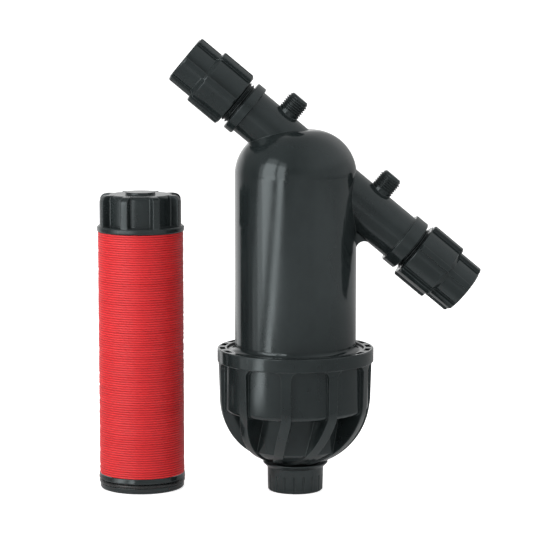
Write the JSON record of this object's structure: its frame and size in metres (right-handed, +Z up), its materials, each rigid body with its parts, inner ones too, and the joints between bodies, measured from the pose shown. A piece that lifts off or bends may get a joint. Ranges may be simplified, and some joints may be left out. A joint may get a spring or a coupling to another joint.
{
  "type": "irrigation disc filter",
  "caption": "Y-pattern in-line irrigation disc filter: domed black vessel with slanted ports and gauge nipples on a ribbed screw-on bowl, its red disc cartridge standing beside it.",
  "frame": {"origin": "centre of the drain cap's underside, on the vessel's axis, at floor level", "axes": "+Z up along the vessel's axis; the slanted pipe line lies in the XZ plane, its inlet end up towards -X and its outlet end down towards +X; -Y is the front of the picture"},
  "size_m": [0.2188, 0.0894, 0.258],
  "materials": {
    "black_plastic": "satin moulded polypropylene",
    "red_discs": "fine grooved discs, satin",
    "black_rubber": "matte moulded rubber"
  },
  "bodies": {
    "cartridge": {"cartridge_spine": "black_plastic", "disc_pack": "red_discs", "cartridge_seal": "black_rubber"},
    "knob_seal": {"knob_seal": "black_rubber"},
    "cartridge_knob": {"cartridge_knob": "black_plastic"},
    "drain_cap": {"drain_cap": "black_plastic"},
    "drain_gasket": {"drain_gasket": "black_rubber"},
    "bowl": {"bowl": "black_plastic"},
    "housing": {"housing": "black_plastic", "bowl_seal": "black_rubber"},
    "inlet_gasket": {"inlet_gasket": "black_rubber"},
    "inlet_coupling": {"inlet_coupling": "black_plastic"},
    "outlet_gasket": {"outlet_gasket": "black_rubber"},
    "outlet_coupling": {"outlet_coupling": "black_plastic"}
  },
  "joints": [
    {"name": "drain_turn", "type": "hinge", "parent": "cartridge", "child": "drain_cap", "pos_m": [0, 0, 0], "axis": [0, 0, -1], "range_deg": [0, 1080]},
    {"name": "filter_lift", "type": "slide", "parent": "cartridge", "child": "drain_gasket", "axis": [0, 0, 1], "range_m": [0, 0.0075]},
    {"name": "bowl_turn", "type": "hinge", "parent": "drain_gasket", "child": "bowl", "pos_m": [0, 0, 0.05], "axis": [0, 0, -1], "range_deg": [0, 1080]},
    {"name": "housing_lift", "type": "slide", "parent": "drain_gasket", "child": "housing", "axis": [0, 0, 1], "range_m": [0, 0.012]},
    {"name": "inlet_shift", "type": "slide", "parent": "housing", "child": "inlet_gasket", "axis": [-0.7683, 0, 0.6401], "range_m": [0, 0.01451]},
    {"name": "inlet_turn", "type": "hinge", "parent": "inlet_gasket", "child": "inlet_coupling", "pos_m": [-0.03404, 0, 0.22376], "axis": [-0.7683, 0, 0.6401], "range_deg": [0, 2880]},
    {"name": "outlet_shift", "type": "slide", "parent": "housing", "child": "outlet_gasket", "axis": [0.7683, 0, -0.6401], "range_m": [0, 0.01451]},
    {"name": "outlet_turn", "type": "hinge", "parent": "outlet_gasket", "child": "outlet_coupling", "pos_m": [0.06746, 0, 0.1392], "axis": [0.7683, 0, -0.6401], "range_deg": [0, 2880]},
    {"name": "knob_lift", "type": "slide", "parent": "cartridge", "child": "knob_seal", "axis": [0, 0, 1], "range_m": [0, 0.012]},
    {"name": "knob_turn", "type": "hinge", "parent": "knob_seal", "child": "cartridge_knob", "pos_m": [-0.0886, 0.008, 0.15], "axis": [0, 0, 1], "range_deg": [0, 1440]}
  ],
  "couplings": [
    {"joint": "drain_turn", "follows": "filter_lift", "rad_per_m": 2513.2},
    {"joint": "housing_lift", "follows": "bowl_turn", "m_per_rad": 0.00063662},
    {"joint": "inlet_shift", "follows": "inlet_turn", "m_per_rad": 0.0002887},
    {"joint": "outlet_shift", "follows": "outlet_turn", "m_per_rad": 0.0002887},
    {"joint": "knob_lift", "follows": "knob_turn", "m_per_rad": 0.00047746}
  ]
}
